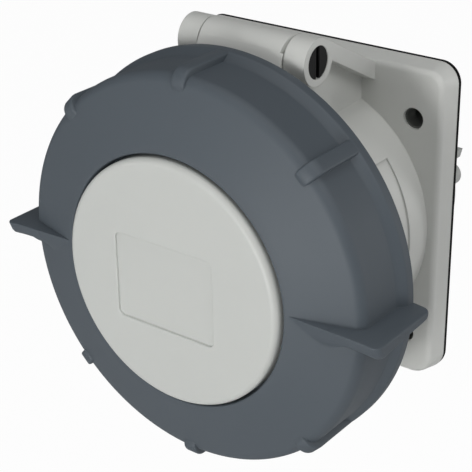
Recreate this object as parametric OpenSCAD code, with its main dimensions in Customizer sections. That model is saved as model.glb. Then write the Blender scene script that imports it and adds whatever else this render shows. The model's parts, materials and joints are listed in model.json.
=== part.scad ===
// Watertight panel socket outlet for a five-pin high-current plug, with its hinged bayonet lid closed.
// The origin lies on the socket axis in the mounting plane of the panel.
// +X is to the right seen from the front, +Y runs back through the panel, +Z is up.
// Depths named *_d are distances in front of that plane, towards -Y. Negative depths lie behind the panel.

/* [Flange] */
// Width of the mounting flange
flange_w = 100; // [97:0.5:106]
// Height of the mounting flange
flange_h = 111; // [108:0.2:116]
// How far the flange's centre lies above the socket axis
flange_rise = 1; // [0:0.1:1.6]
// Distance of the flange's front face from the panel
flange_d = 9; // [8:0.25:11]
// Radius of the flange's upper corners, at its rear
flange_corner_r = 6.8; // [5.5:0.1:9]
// Radius of the flange's lower corners, at its rear
flange_low_corner_r = 8.6; // [5.5:0.1:10]
// How far the side walls lean in towards the front
flange_draft = 1.1; // [0.5:0.1:1.8]
// Radius on the flange's front edge
flange_edge_r = 2; // [1:0.25:2.5]
// Thickness of the flange's front wall
front_wall = 3.2; // [2.4:0.2:4]
// Thickness of the flange's side walls
side_wall = 3; // [2.2:0.2:3.6]
// Thickness of the panel gasket
gasket_t = 1.5; // [1:0.25:2.5]

/* [Fixing holes] */
// Distance between hole centres, side to side
hole_pitch_x = 77; // [74:0.5:80]
// Distance between hole centres, top to bottom
hole_pitch_z = 77; // [74:0.5:84]
// Diameter of each fixing hole
hole_dia = 7.2; // [5.5:0.1:8]
// Wall of the tube round each fixing hole
hole_tube_wall = 2.6; // [2:0.2:3.4]

/* [Collar] */
// Distance of the collar's front rim from the panel
collar_d = 69.7; // [67:0.1:73]
// Outer radius of the collar where it leaves the flange
collar_base_r = 45.5; // [44.5:0.1:46.3]
// Outer radius of the collar at its front rim
collar_rim_r = 43.6; // [42.8:0.1:44.2]
// Radial space between contact carrier and collar, where the plug's skirt goes
skirt_space = 9.1; // [8:0.1:9.6]
// Width of the keyway in the collar
keyway_w = 8.5; // [6:0.5:10]
// Depth of the keyway into the collar wall
keyway_depth = 2.6; // [1.8:0.1:3]
// Half the angle that the rating field covers
field_half_angle = 38; // [25:1:44]
// Width of the rating field along the collar
field_w = 26; // [16:1:30]
// Depth of the rating field
field_depth = 0.6; // [0.3:0.1:1]

/* [Contacts] */
// Radius of the contact carrier
carrier_r = 30.5; // [30:0.1:32]
// Distance of the contact carrier's face from the panel
carrier_d = 60; // [56:0.5:63]
// Radius of the circle that the line, neutral and earth contacts lie on
contact_circle_r = 18.5; // [17.5:0.1:19.5]
// Bore of a line contact sleeve
line_bore = 8.1; // [7.5:0.1:8.6]
// Bore of the earth contact sleeve
earth_bore = 10.1; // [9.5:0.1:10.6]
// Bore of the pilot contact sleeve
pilot_bore = 6.1; // [5.5:0.1:6.6]
// Wall of a contact sleeve
sleeve_wall = 2.05; // [1.7:0.05:2.3]
// Depth of the sleeves' bores
sleeve_bore_len = 38; // [30:1:41]

/* [Rear housing] */
// How far the rear housing reaches behind the panel
rear_reach = 24; // [21:0.5:30]
// Outer radius of the rear housing
rear_r = 38; // [37:0.25:39.5]
// Wall of the rear housing
rear_wall = 2.2; // [1.8:0.1:3]
// Width of a line terminal block
block_w = 12.5; // [11.5:0.1:13]
// Length of a line terminal block
block_len = 16; // [13:0.5:17]

/* [Locking ring] */
// Outer radius of the ring's rear rim
ring_r = 66.8; // [66:0.2:69]
// Distance of the ring's rear edge from the panel
ring_rear_d = 53; // [51:0.5:54]
// Outer radius of the ring's wall behind its shoulder
ring_wall_r = 64.6; // [63.8:0.1:65]
// Thickness of the ring's wall
ring_wall = 2.8; // [2.2:0.1:3.2]
// Radius on the ring's front shoulder
shoulder_r = 3.5; // [2.5:0.25:4.5]
// Slope of the ring's front face
face_slope = 17.5; // [14:0.5:18]
// Width of a grip rib
rib_w = 5; // [4:0.25:8]
// How far a grip rib stands out of the ring's wall
rib_h = 2.3; // [1.4:0.1:2.6]
// Distance from the axis to a wing's tip
wing_reach = 72.2; // [70:0.2:75]
// Height of a wing's top at its tip
wing_top_z = 1; // [0:0.1:1.5]
// Thickness of a wing at its tip
wing_t = 4.8; // [4:0.2:6]
// Angle that the ring turns through to lock
lock_angle = 40; // [34:1:44]

/* [Lid] */
// Radius of the lid's cap
cap_r = 40.5; // [39.8:0.1:41.8]
// Thickness of the cap
cap_t = 7.6; // [6.8:0.1:8.6]
// Radius on the cap's front edge
cap_edge_r = 2; // [1:0.25:2.5]
// How far the cap stands out of the ring's hole
cap_proud = 2; // [1.5:0.1:3]
// Width of the label field
label_w = 37.4; // [30:0.2:44]
// Height of the label field
label_h = 28.4; // [22:0.2:32]
// Depth of the label field
label_depth = 0.4; // [0.2:0.05:0.8]
// Thickness of the lid's plate
plate_t = 2.6; // [2:0.1:3.2]
// Thickness of the lid seal
seal_t = 2.9; // [2.2:0.1:3.6]

/* [Hinge] */
// Height of the hinge axis above the socket axis
hinge_z = 63.2; // [62.6:0.1:65]
// Radius of the hinge ears and of the knuckle
ear_r = 7.5; // [7:0.1:7.9]
// Distance between the outer faces of the ears
hinge_w = 48; // [44:0.5:54]
// Width of each ear
ear_w = 7.6; // [6:0.2:9]
// Diameter of the bushes in the ears
bush_dia = 10.3; // [9.6:0.1:10.5]
// Diameter of the hinge shaft
shaft_dia = 4; // [3:0.1:4.4]
// Wire diameter of the lid spring
wire_dia = 1.1; // [0.8:0.05:1.2]

/* [Clearances] */
// Gap between faces that slide past each other
run_gap = 0.3; // [0.2:0.05:0.4]
// Radial clearance of the hinge bushes and of the shaft
pin_gap = 0.06; // [0.03:0.01:0.09]
// Radial clearance of a piece in its seat
seat_gap = 0.3; // [0.15:0.05:0.4]

/* [Hidden] */
$fn = 96;

LIGHT_GREY = [0.76, 0.77, 0.76];
BLUE_GREY = [0.35, 0.39, 0.43];
BLACK = [0.06, 0.06, 0.07];
DARK_GREY = [0.2, 0.21, 0.22];
BRASS = [0.8, 0.65, 0.35];
STEEL = [0.7, 0.71, 0.73];
RUBBER = [0.1, 0.1, 0.11];

// Longer than any cut needs to be
past = 1;
// Small radius that breaks a moulded edge
edge_break = 0.8;

// Axial stack from the panel to the front of the cap
bore_r = carrier_r + skirt_space;
lid_back_d = collar_d + run_gap + seal_t;
plate_front_d = lid_back_d + plate_t;
lip_back_d = plate_front_d + run_gap;
lip_t = 2.3;
lip_front_d = lip_back_d + lip_t;
cap_back_d = lip_front_d + run_gap;
cap_front_d = cap_back_d + cap_t;
ring_hole_d = cap_front_d - cap_proud;
ring_hole_r = cap_r + 3 * seat_gap;
lip_r = cap_r - 4;
hub_r = lip_r - seat_gap - 0.1;

// Seats inside the collar
ledge_back_d = flange_d + 1;
ledge_t = 3;
ledge_d = ledge_back_d + ledge_t;
ledge_r = bore_r - 4.8;
rear_bore_r = bore_r + 2;
tube_r = flange_w / 2 - side_wall + 0.5;
carrier_rim_t = 3;
carrier_rim_r = bore_r - seat_gap;
carrier_seal_r = ledge_r + 1.2;
carrier_seal_w = 2.4;
carrier_seal_t = 1.2;
rear_rim_t = 3.2;
rear_rim_r = rear_bore_r - seat_gap;

// Contacts: the earth contact is at the bottom, on the keyway's side
contact_step = 72;
earth_angle = -90;
line_angles = [earth_angle + contact_step, earth_angle + 2 * contact_step, earth_angle + 3 * contact_step];
neutral_angle = earth_angle + 4 * contact_step;
sleeve_back_d = ledge_back_d;
chamber_front_d = carrier_d - 4;
sleeve_front_d = chamber_front_d - seat_gap;
pilot_setback = 6;
shank_d = -2;
spring_ring_w = 2;
spring_ring_t = 0.65;
spring_ring_d = sleeve_front_d - 10;
entry_gap = 0.5;
slot_w = 1;
slot_len = 20;

// Terminals behind the panel
tower_wall = 1.8;
pilot_block_w = 9;
pilot_block_len = 12;
block_clear = 0.4;
block_back_d = shank_d - block_len;
screw_head_r = 3;
screw_shank_r = 2.4;
screw_head_t = 2.6;
housing_screw_r = 1.95;
housing_screw_head_r = 3.4;
housing_screw_head_t = 2.8;
housing_screw_len = 20;
housing_screw_circle = carrier_r - 4.5;
housing_screw_angles = [-54, 90, 234];
housing_floor_d = 4;
lug_pillar_r = 4;
lug_pillar_z = 8.4;

// Bayonet: lugs on the ring pass in front of ramps on the collar
lug_back_d = ring_rear_d + 0.5;
lug_t = 3.4;
lug_front_d = lug_back_d + lug_t;
lug_inner_r = collar_rim_r + 3.7;
lug_half_angle = 6.5;
ramp_t = 5;
ramp_r = lug_inner_r + 2.8;
ramp_back_d = lug_front_d + run_gap;
ramp_rise = 1.2;
ramp_start = lug_half_angle * 2;
ramp_end = lock_angle + lug_half_angle + 8;

// Lid
lid_plate_r = ring_wall_r - ring_wall - 5.5;
skirt_r = 48.6;
skirt_t = 2.2;
skirt_len = 7.5;
seal_in_r = bore_r - 0.4;
seal_out_r = collar_rim_r + 1.6;
seal_rib_t = 2;
cap_wall = 2.4;
cap_screw_circle = 26;
cap_screw_r = 1.5;
cap_screw_head_r = 3;
cap_screw_head_t = 2;
cap_screw_len = 7;
label_x = -2;
label_z = -2.6;
label_corner_r = 1.6;
arm_t = 5;
arm_gap = 0.9;
arm_top_z = sqrt(pow(ring_wall_r - ring_wall - arm_gap, 2) - pow(hinge_w / 2 - ear_w, 2));

// Hinge
knuckle_gap = 4.3;
hinge_d = ring_rear_d - knuckle_gap - ear_r;
ear_in_x = hinge_w / 2 - ear_w;
knuckle_x = ear_in_x - 0.4;
bush_r = bush_dia / 2;
shaft_r = shaft_dia / 2;
ear_bore_r = bush_r + pin_gap;
bush_end_x = hinge_w / 2 - 0.3;
bush_nose = 6;
knuckle_wall = 3;
shaft_end_x = bush_end_x - 1.6;
bush_slot_w = 1.7;
bush_slot_depth = 1;
strip_t = 5.2;
strip_end_z = flange_rise + flange_h / 2 - flange_draft - 1.5;
web_t = 2.7;
web_z = sqrt(pow(bore_r + 3, 2) - pow(ear_in_x + web_t, 2));
roof_t = 2.6;
knuckle_clear = 0.8;
notch_w = 1.2;
notch_depth = 1.8;
notch_from = 25;
notch_to = 90;
coil_r = (ear_bore_r + shaft_r) / 2;
coil_turns = 9;
coil_steps = 16;
wire_sides = 6;

// Frames for shapes: along the socket axis, across it on the hinge axis, and turned about the socket axis

// A 2D shape in front view (X, Z), swept from depth d0 to depth d1
module along(d0, d1) {
  rotate([90, 0, 0])
    translate([0, 0, d0])
      linear_extrude(height = d1 - d0)
        children();
}

// A 2D shape in side view (depth, Z), swept from x0 to x1
module across(x0, x1) {
  translate([x0, 0, 0])
    rotate([90, 0, 90])
      linear_extrude(height = x1 - x0)
        mirror([1, 0])
          children();
}

// A profile of [radius, depth] points turned about the socket axis
module turned(profile) {
  rotate([90, 0, 0])
    rotate_extrude()
      polygon(profile);
}

// A part of such a turned shape, from angle a0 to angle a1 counted from +X towards +Z
module turned_part(profile, a0, a1) {
  rotate([90, 0, 0])
    rotate([0, 0, a0])
      rotate_extrude(angle = a1 - a0)
        polygon(profile);
}

// A rod along the socket axis at (x, z)
module rod(r, d0, d1, x = 0, z = 0) {
  along(d0, d1)
    translate([x, z])
      circle(r = r);
}

// Children placed at an angle round the socket axis, turned so that their local +X points outwards
module around(angle) {
  rotate([0, -angle, 0])
    children();
}

// Rectangle with upper corners of one radius and lower corners of another
module round_rect(w, h, r, low_r) {
  intersection() {
    round_square(w, h, r);
    translate([0, h / 2])
      square([2 * w, h + 2 * r], center = true);
  }
  intersection() {
    round_square(w, h, low_r);
    translate([0, -h / 2])
      square([2 * w, h], center = true);
  }
}

module round_square(w, h, r) {
  square([w - 2 * r, h], center = true);
  square([w, h - 2 * r], center = true);
  for (sx = [-1, 1], sz = [-1, 1])
    translate([sx * (w / 2 - r), sz * (h / 2 - r)])
      circle(r = r);
}

// Points on an arc about (cx, cy), from angle a0 to a1
function arc(cx, cy, r, a0, a1, n = 6) =
  [for (i = [0:n]) let (a = a0 + (a1 - a0) * i / n) [cx + r * cos(a), cy + r * sin(a)]];

function collar_r_at(d) =
  collar_base_r + (collar_rim_r - collar_base_r) * (d - flange_d) / (collar_d - flange_d);

// Depth of the ring's front face at radius r, outside its hole
shoulder_cx = ring_wall_r - shoulder_r;
face_drop = tan(face_slope);
shoulder_cd = ring_hole_d - (shoulder_cx - ring_hole_r) * face_drop - shoulder_r / cos(face_slope);
function ring_face_d(r) = ring_hole_d - (r - ring_hole_r) * face_drop;

// Flange, collar and hinge bracket: one moulding

module flange_corner(r) {
  r_front = r - flange_draft;
  rotate([90, 0, 0])
    rotate_extrude($fn = 48)
      polygon(concat(
        [[0, gasket_t], [r, gasket_t]],
        arc(r_front - flange_edge_r, flange_d - flange_edge_r, flange_edge_r, 0, 90, 5),
        [[0, flange_d]]));
}

module flange_body() {
  hull()
    for (sx = [-1, 1], corner = [[1, flange_corner_r], [-1, flange_low_corner_r]])
      translate([
        sx * (flange_w / 2 - corner[1]), 0,
        flange_rise + corner[0] * (flange_h / 2 - corner[1])])
        flange_corner(corner[1]);
}

module flange_hollow() {
  along(gasket_t - past, flange_d - front_wall)
    difference() {
      translate([0, flange_rise])
        round_rect(
          flange_w - 2 * side_wall, flange_h - 2 * side_wall,
          flange_corner_r - side_wall, flange_low_corner_r - side_wall);
      circle(r = tube_r);
    }
}

module at_holes() {
  for (sx = [-1, 1], sz = [-1, 1])
    translate([sx * hole_pitch_x / 2, 0, sz * hole_pitch_z / 2])
      children();
}

module hole_tubes() {
  at_holes()
    rod(hole_dia / 2 + hole_tube_wall, gasket_t, flange_d - front_wall / 2);
}

module collar_outside() {
  turned(concat(
    [[0, flange_d - front_wall], [collar_base_r, flange_d - front_wall], [collar_base_r, flange_d]],
    arc(collar_rim_r - edge_break, collar_d - edge_break, edge_break, 0, 90, 4),
    [[0, collar_d]]));
}

// Thicker wall over the keyway, clear of the lid's skirt
module keyway_rib() {
  along(flange_d - past, lug_back_d)
    translate([0, -(bore_r + keyway_depth)])
      square([keyway_w + 5, 2 * 2.6], center = true);
}

module keyway() {
  along(ledge_d, collar_d + past)
    translate([0, -bore_r])
      square([keyway_w, 2 * keyway_depth], center = true);
}

module bore_through() {
  rod(bore_r, ledge_d, collar_d + past);
  rod(ledge_r, 0, ledge_d + past);
  rod(rear_bore_r, 0, ledge_back_d);
}

// Shallow field for the ratings, sunk in the collar's right side
module rating_field() {
  d0 = flange_d + 10.2;
  d1 = d0 + field_w;
  turned_part([
    [collar_r_at(d0) - field_depth, d0],
    [collar_r_at(d0) + past, d0],
    [collar_r_at(d1) + past, d1],
    [collar_r_at(d1) - field_depth, d1]], -field_half_angle, field_half_angle);
}

// One bayonet ramp, its rear face tilted so that it draws the ring in
module bayonet_ramp() {
  mid = -(ramp_start + ramp_end) / 2;
  tilt = atan(ramp_rise / (lug_inner_r * (ramp_end - ramp_start) * PI / 180));
  difference() {
    turned_part([
      [collar_rim_r - 1, ramp_back_d], [ramp_r, ramp_back_d],
      [ramp_r, ramp_back_d + ramp_t - 1.4], [ramp_r - 1.4, ramp_back_d + ramp_t],
      [collar_rim_r - 1, ramp_back_d + ramp_t]], -ramp_end, -ramp_start);
    around(mid)
      translate([ramp_r, -ramp_back_d - ramp_rise / 2, 0])
        rotate([-tilt, 0, 0])
          translate([0, ramp_t, 0])
            cube([2 * ramp_r, 2 * ramp_t, 3 * ramp_r], center = true);
  }
}

// Side view of a hinge ear with its strip back to the flange, as [depth, height]
strip_dx = hinge_d - (flange_d - 1);
strip_dz = hinge_z - strip_end_z;
strip_angle = atan2(strip_dz, strip_dx) + asin(ear_r / norm([strip_dx, strip_dz]));
strip_normal = [-sin(strip_angle), cos(strip_angle)];
strip_top = [[hinge_d, hinge_z] + ear_r * strip_normal, [flange_d - 1, strip_end_z]];

module strip_outline(t) {
  polygon([
    strip_top[0],
    strip_top[1],
    strip_top[1] - [0, t / cos(strip_angle)],
    strip_top[0] - t * strip_normal]);
}

module ear_outline() {
  translate([hinge_d, hinge_z])
    circle(r = ear_r);
  strip_outline(strip_t);
}

module web_outline() {
  polygon([
    [flange_d - 1, web_z],
    [hinge_d + 2, web_z],
    [hinge_d + ear_r * cos(40), hinge_z - ear_r * sin(40)],
    [hinge_d, hinge_z],
    strip_top[1] - [0, strip_t / 2 / cos(strip_angle)]]);
}

module hinge_bracket() {
  for (side = [0, 1])
    mirror([side, 0, 0]) {
      across(ear_in_x, hinge_w / 2)
        ear_outline();
      across(ear_in_x, ear_in_x + web_t)
        web_outline();
    }
  difference() {
    across(-ear_in_x - 0.5, ear_in_x + 0.5)
      strip_outline(roof_t);
    across(-ear_in_x, ear_in_x)
      translate([hinge_d, hinge_z])
        circle(r = ear_r + knuckle_clear);
  }
}

module flange_housing() {
  color(LIGHT_GREY)
    difference() {
      union() {
        difference() {
          flange_body();
          flange_hollow();
        }
        hole_tubes();
        collar_outside();
        rod(tube_r, gasket_t, flange_d - front_wall / 2);
        keyway_rib();
        hinge_bracket();
        bayonet_ramp();
        rotate([0, 180, 0])
          bayonet_ramp();
      }
      bore_through();
      keyway();
      rating_field();
      at_holes()
        rod(hole_dia / 2, 0, flange_d + past);
      across(-hinge_w / 2 - past, hinge_w / 2 + past)
        translate([hinge_d, hinge_z])
          circle(r = ear_bore_r);
    }
}

module panel_gasket() {
  color(RUBBER)
    along(0, gasket_t)
      difference() {
        translate([0, flange_rise])
          round_rect(flange_w, flange_h, flange_corner_r, flange_low_corner_r);
        circle(r = tube_r - 2.5);
        for (sx = [-1, 1], sz = [-1, 1])
          translate([sx * hole_pitch_x / 2, sz * hole_pitch_z / 2])
            circle(r = hole_dia / 2);
      }
}

// Contact carrier and its seal

function contact_x(angle) = contact_circle_r * cos(angle);
function contact_z(angle) = contact_circle_r * sin(angle);

// Entry hole with a lead-in, and the chamber behind it
module contact_chamber(bore, setback, x, z) {
  sleeve_r = bore / 2 + sleeve_wall;
  rod(sleeve_r + seat_gap, sleeve_back_d, chamber_front_d - setback, x, z);
  rod(bore / 2 + entry_gap, sleeve_back_d, carrier_d + past, x, z);
  translate([x, 0, z])
    turned([
      [0, carrier_d - 1.2], [bore / 2 + entry_gap, carrier_d - 1.2],
      [bore / 2 + entry_gap + 1.2, carrier_d], [0, carrier_d]]);
}

module contact_carrier() {
  color(DARK_GREY)
    difference() {
      turned(concat(
        [[0, ledge_d], [carrier_seal_r, ledge_d],
         [carrier_seal_r, ledge_d + carrier_seal_t],
         [carrier_seal_r + carrier_seal_w, ledge_d + carrier_seal_t],
         [carrier_seal_r + carrier_seal_w, ledge_d],
         [carrier_rim_r, ledge_d], [carrier_rim_r, ledge_d + carrier_rim_t],
         [carrier_r, ledge_d + carrier_rim_t]],
        arc(carrier_r - edge_break, carrier_d - edge_break, edge_break, 0, 90, 4),
        [[0, carrier_d]]));
      for (a = concat(line_angles, [neutral_angle]))
        contact_chamber(line_bore, 0, contact_x(a), contact_z(a));
      contact_chamber(earth_bore, 0, contact_x(earth_angle), contact_z(earth_angle));
      contact_chamber(pilot_bore, pilot_setback, 0, 0);
      for (a = housing_screw_angles)
        rod(housing_screw_r + pin_gap, ledge_d - past, housing_floor_d + housing_screw_len + past,
          housing_screw_circle * cos(a), housing_screw_circle * sin(a));
    }
}

module carrier_seal() {
  color(RUBBER)
    turned([
      [carrier_seal_r, ledge_d], [carrier_seal_r + carrier_seal_w, ledge_d],
      [carrier_seal_r + carrier_seal_w, ledge_d + carrier_seal_t],
      [carrier_seal_r, ledge_d + carrier_seal_t]]);
}

// Turned contact sleeve with four slots and a groove for its spring ring
module sleeve(bore, setback) {
  r_in = bore / 2;
  r_out = r_in + sleeve_wall;
  front = sleeve_front_d - setback;
  ring_d = spring_ring_d - setback;
  difference() {
    turned([
      [0, shank_d], [r_in, shank_d], [r_in, sleeve_back_d], [r_out, sleeve_back_d],
      [r_out, ring_d],
      [r_out - spring_ring_t, ring_d],
      [r_out - spring_ring_t, ring_d + spring_ring_w],
      [r_out, ring_d + spring_ring_w],
      [r_out, front - 0.6], [r_out - 0.6, front], [0, front]]);
    rod(r_in, front - sleeve_bore_len, front + past);
    along(front - slot_len, front + past) {
      square([2 * r_out + past, slot_w], center = true);
      square([slot_w, 2 * r_out + past], center = true);
    }
  }
}

module placed_sleeve(bore, angle) {
  color(BRASS)
    translate([contact_x(angle), 0, contact_z(angle)])
      sleeve(bore, 0);
}

module spring_ring(bore, setback, x, z) {
  r_out = bore / 2 + sleeve_wall;
  ring_d = spring_ring_d - setback;
  translate([x, 0, z])
    turned([
      [r_out - spring_ring_t, ring_d], [r_out, ring_d],
      [r_out, ring_d + spring_ring_w], [r_out - spring_ring_t, ring_d + spring_ring_w]]);
}

module line_contact_1() placed_sleeve(line_bore, line_angles[0]);
module line_contact_2() placed_sleeve(line_bore, line_angles[1]);
module line_contact_3() placed_sleeve(line_bore, line_angles[2]);
module neutral_contact() placed_sleeve(line_bore, neutral_angle);
module earth_contact() placed_sleeve(earth_bore, earth_angle);
module pilot_contact() {
  color(BRASS)
    sleeve(pilot_bore, pilot_setback);
}

module contact_springs() {
  color(STEEL) {
    for (a = concat(line_angles, [neutral_angle]))
      spring_ring(line_bore, 0, contact_x(a), contact_z(a));
    spring_ring(earth_bore, 0, contact_x(earth_angle), contact_z(earth_angle));
    spring_ring(pilot_bore, pilot_setback, 0, 0);
  }
}

// Terminals behind the panel

earth_block_w = block_w + earth_bore - line_bore;
function block_width(angle) = angle == earth_angle ? earth_block_w : block_w;
clamp_screw_d = shank_d - block_len * 0.62;

// Terminal block with a wire hole from behind and a screw hole from outside
module terminal_block(w, len, screw_d) {
  difference() {
    along(shank_d - len, shank_d)
      square([w, w], center = true);
    rod(w / 2 - 2.4, shank_d - len - past, shank_d - 3);
    translate([0, -screw_d, 0])
      rotate([0, 90, 0])
        cylinder(r = screw_shank_r + pin_gap, h = w);
  }
}

module placed_block(angle) {
  color(BRASS)
    around(angle)
      translate([contact_circle_r, 0, 0])
        terminal_block(block_width(angle), block_len, clamp_screw_d);
}

module line_terminal_1() placed_block(line_angles[0]);
module line_terminal_2() placed_block(line_angles[1]);
module line_terminal_3() placed_block(line_angles[2]);
module neutral_terminal() placed_block(neutral_angle);
module earth_terminal() placed_block(earth_angle);

pilot_screw_angle = 54;
module pilot_terminal() {
  color(BRASS)
    difference() {
      along(shank_d - pilot_block_len, shank_d)
        rotate(pilot_screw_angle)
          square([pilot_block_w, pilot_block_w], center = true);
      rod(pilot_block_w / 2 - 2, shank_d - pilot_block_len - past, shank_d - 3);
    }
}

// Clamp screw standing in a block's outer face, with a slotted head
module clamp_screw(w) {
  translate([contact_circle_r, -clamp_screw_d, 0])
    rotate([0, 90, 0])
      difference() {
        union() {
          translate([0, 0, w / 2 - 2])
            cylinder(r = screw_shank_r, h = 2 + past / 2);
          translate([0, 0, w / 2])
            cylinder(r = screw_head_r, h = screw_head_t);
        }
        translate([0, 0, w / 2 + screw_head_t])
          cube([1, 3 * screw_head_r, 2.4], center = true);
      }
}

module terminal_screws() {
  color(STEEL)
    for (a = concat(line_angles, [neutral_angle, earth_angle]))
      around(a)
        clamp_screw(block_width(a));
}

// Rear housing with a tower for each terminal

module tower_outline(grow) {
  for (a = concat(line_angles, [neutral_angle, earth_angle]))
    rotate(a)
      translate([contact_circle_r, 0])
        square(block_width(a) + 2 * (block_clear + grow), center = true);
  rotate(pilot_screw_angle)
    square(pilot_block_w + 2 * (block_clear + grow), center = true);
}

module screw_tubes(r) {
  for (a = concat(line_angles, [neutral_angle, earth_angle]))
    around(a)
      translate([contact_circle_r + block_width(a) / 2, -clamp_screw_d, 0])
        rotate([0, 90, 0])
          cylinder(r = r, h = rear_r - contact_circle_r - block_width(a) / 2 - rear_wall / 2);
}

module access_holes() {
  for (a = concat(line_angles, [neutral_angle, earth_angle]))
    around(a)
      translate([contact_circle_r, -clamp_screw_d, 0])
        rotate([0, 90, 0])
          cylinder(r = screw_head_r + block_clear, h = rear_r);
}

// Round pillar and stop rib on each side of the housing, seen past the edge of the flange
module side_lugs() {
  for (turn = [0, 180])
    rotate([0, turn, 0]) {
      rod(lug_pillar_r, 1.5 - rear_reach, ledge_back_d - rear_rim_t - 2, rear_r + 2 - lug_pillar_r, lug_pillar_z);
      along(1.5 - rear_reach, -rear_reach / 2)
        translate([rear_r - 5.4, lug_pillar_z + 6.8])
          polygon([[0, 0], [6.6, 0], [7.4, 3.2], [0, 3.2]]);
    }
}

module rear_housing() {
  color(LIGHT_GREY)
    difference() {
      union() {
        difference() {
          turned([
            [0, -rear_reach], [rear_r - 1, -rear_reach], [rear_r, 1 - rear_reach],
            [rear_r, ledge_back_d - rear_rim_t],
            [rear_rim_r, ledge_back_d - rear_rim_t], [rear_rim_r, ledge_back_d], [0, ledge_back_d]]);
          rod(rear_r - rear_wall, -rear_reach - past, housing_floor_d);
        }
        along(-rear_reach + 1.5, housing_floor_d + past)
          tower_outline(tower_wall);
        screw_tubes(screw_head_r + block_clear + tower_wall);
        for (a = housing_screw_angles)
          rod(housing_screw_head_r + block_clear + 1.6, -6, housing_floor_d + past,
            housing_screw_circle * cos(a), housing_screw_circle * sin(a));
        side_lugs();
      }
      along(-rear_reach - past, shank_d + 0.5)
        tower_outline(0);
      for (a = concat(line_angles, [neutral_angle]))
        rod(line_bore / 2 + pin_gap, shank_d - past, ledge_back_d + past, contact_x(a), contact_z(a));
      rod(earth_bore / 2 + pin_gap, shank_d - past, ledge_back_d + past,
        contact_x(earth_angle), contact_z(earth_angle));
      rod(pilot_bore / 2 + pin_gap, shank_d - past, ledge_back_d + past);
      access_holes();
      for (a = housing_screw_angles) {
        rod(housing_screw_head_r + block_clear, -6 - past, housing_floor_d,
          housing_screw_circle * cos(a), housing_screw_circle * sin(a));
        rod(housing_screw_r + 0.3, housing_floor_d - past, ledge_back_d + past,
          housing_screw_circle * cos(a), housing_screw_circle * sin(a));
      }
    }
}

module housing_screws() {
  color(STEEL)
    for (a = housing_screw_angles)
      translate([housing_screw_circle * cos(a), 0, housing_screw_circle * sin(a)])
        difference() {
          turned([
            [0, housing_floor_d - housing_screw_head_t],
            [housing_screw_head_r - 0.8, housing_floor_d - housing_screw_head_t],
            [housing_screw_head_r, housing_floor_d - housing_screw_head_t + 0.8],
            [housing_screw_head_r, housing_floor_d],
            [housing_screw_r, housing_floor_d],
            [housing_screw_r, housing_floor_d + housing_screw_len - 1.5],
            [0, housing_floor_d + housing_screw_len]]);
          along(housing_floor_d - housing_screw_head_t - past, housing_floor_d - housing_screw_head_t + 1.4) {
            square([4, 1], center = true);
            square([1, 4], center = true);
          }
        }
}

// Lid: plate, hub, skirt, seal rib, hinge arm and knuckle in one moulding

module lid_plate() {
  turned([
    [0, plate_front_d - 1.9], [hub_r - 2, plate_front_d - 1.9], [hub_r - 2, lid_back_d],
    [seal_in_r - seal_rib_t, lid_back_d],
    [seal_in_r - seal_rib_t, lid_back_d - seal_t + 0.6], [seal_in_r, lid_back_d - seal_t + 0.6],
    [seal_in_r, lid_back_d],
    [skirt_r, lid_back_d], [skirt_r, lid_back_d - skirt_len],
    [skirt_r + skirt_t, lid_back_d - skirt_len], [skirt_r + skirt_t, lid_back_d],
    [lid_plate_r, lid_back_d], [lid_plate_r, plate_front_d],
    [hub_r, plate_front_d], [hub_r, cap_back_d], [0, cap_back_d]]);
}

// Side view of the hinge arm, from the plate back under the ring and up to the knuckle
module arm_outline() {
  front_d = lid_back_d + 0.6;
  rise_d = ring_rear_d - 0.8;
  polygon([
    [front_d, arm_top_z],
    [rise_d, arm_top_z],
    [hinge_d + ear_r * sin(60), hinge_z + ear_r * cos(60)],
    [hinge_d, hinge_z],
    [hinge_d + 1, hinge_z - ear_r + 1],
    [rise_d - 4, arm_top_z - arm_t],
    [lid_back_d - 6, arm_top_z - arm_t],
    [lid_back_d - 1.5, arm_top_z - 2 * arm_t + 1],
    [front_d, arm_top_z - 2 * arm_t + 1]]);
}

module lid() {
  color(LIGHT_GREY)
    difference() {
      union() {
        lid_plate();
        intersection() {
          across(-knuckle_x, knuckle_x)
            arm_outline();
          rod(hinge_z + 2 * ear_r, 0, plate_front_d);
        }
        across(-knuckle_x, knuckle_x)
          translate([hinge_d, hinge_z])
            circle(r = ear_r);
      }
      across(-knuckle_x + knuckle_wall, knuckle_x + past)
        translate([hinge_d, hinge_z])
          circle(r = ear_bore_r + 0.02);
      across(-knuckle_x - past, knuckle_x)
        translate([hinge_d, hinge_z])
          circle(r = shaft_r + pin_gap);
      knuckle_notch();
      for (k = [0:2])
        around(90 + 120 * k)
          rod(cap_screw_r + 0.3, plate_front_d - 3, cap_back_d + past, cap_screw_circle, 0);
    }
}

// Crescent notch over the top of the knuckle's right end, wide at the front and fading towards the back
module knuckle_notch() {
  intersection() {
    across(knuckle_x - 2 * notch_w, knuckle_x + past)
      translate([hinge_d, hinge_z])
        difference() {
          polygon(concat([[0, 0]], arc(0, 0, 1.5 * ear_r, notch_from, notch_to, 6)));
          circle(r = ear_r - notch_depth);
        }
    translate([knuckle_x, -hinge_d, hinge_z])
      rotate([0, 0, -atan(notch_w / (ear_r * cos(notch_from)))])
        translate([0, -2 * ear_r, -2 * ear_r])
          cube(4 * ear_r);
  }
}

module lid_seal() {
  color(RUBBER)
    turned([
      [seal_in_r, lid_back_d - seal_t], [seal_out_r, lid_back_d - seal_t],
      [seal_out_r, lid_back_d], [seal_in_r, lid_back_d]]);
}

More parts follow.
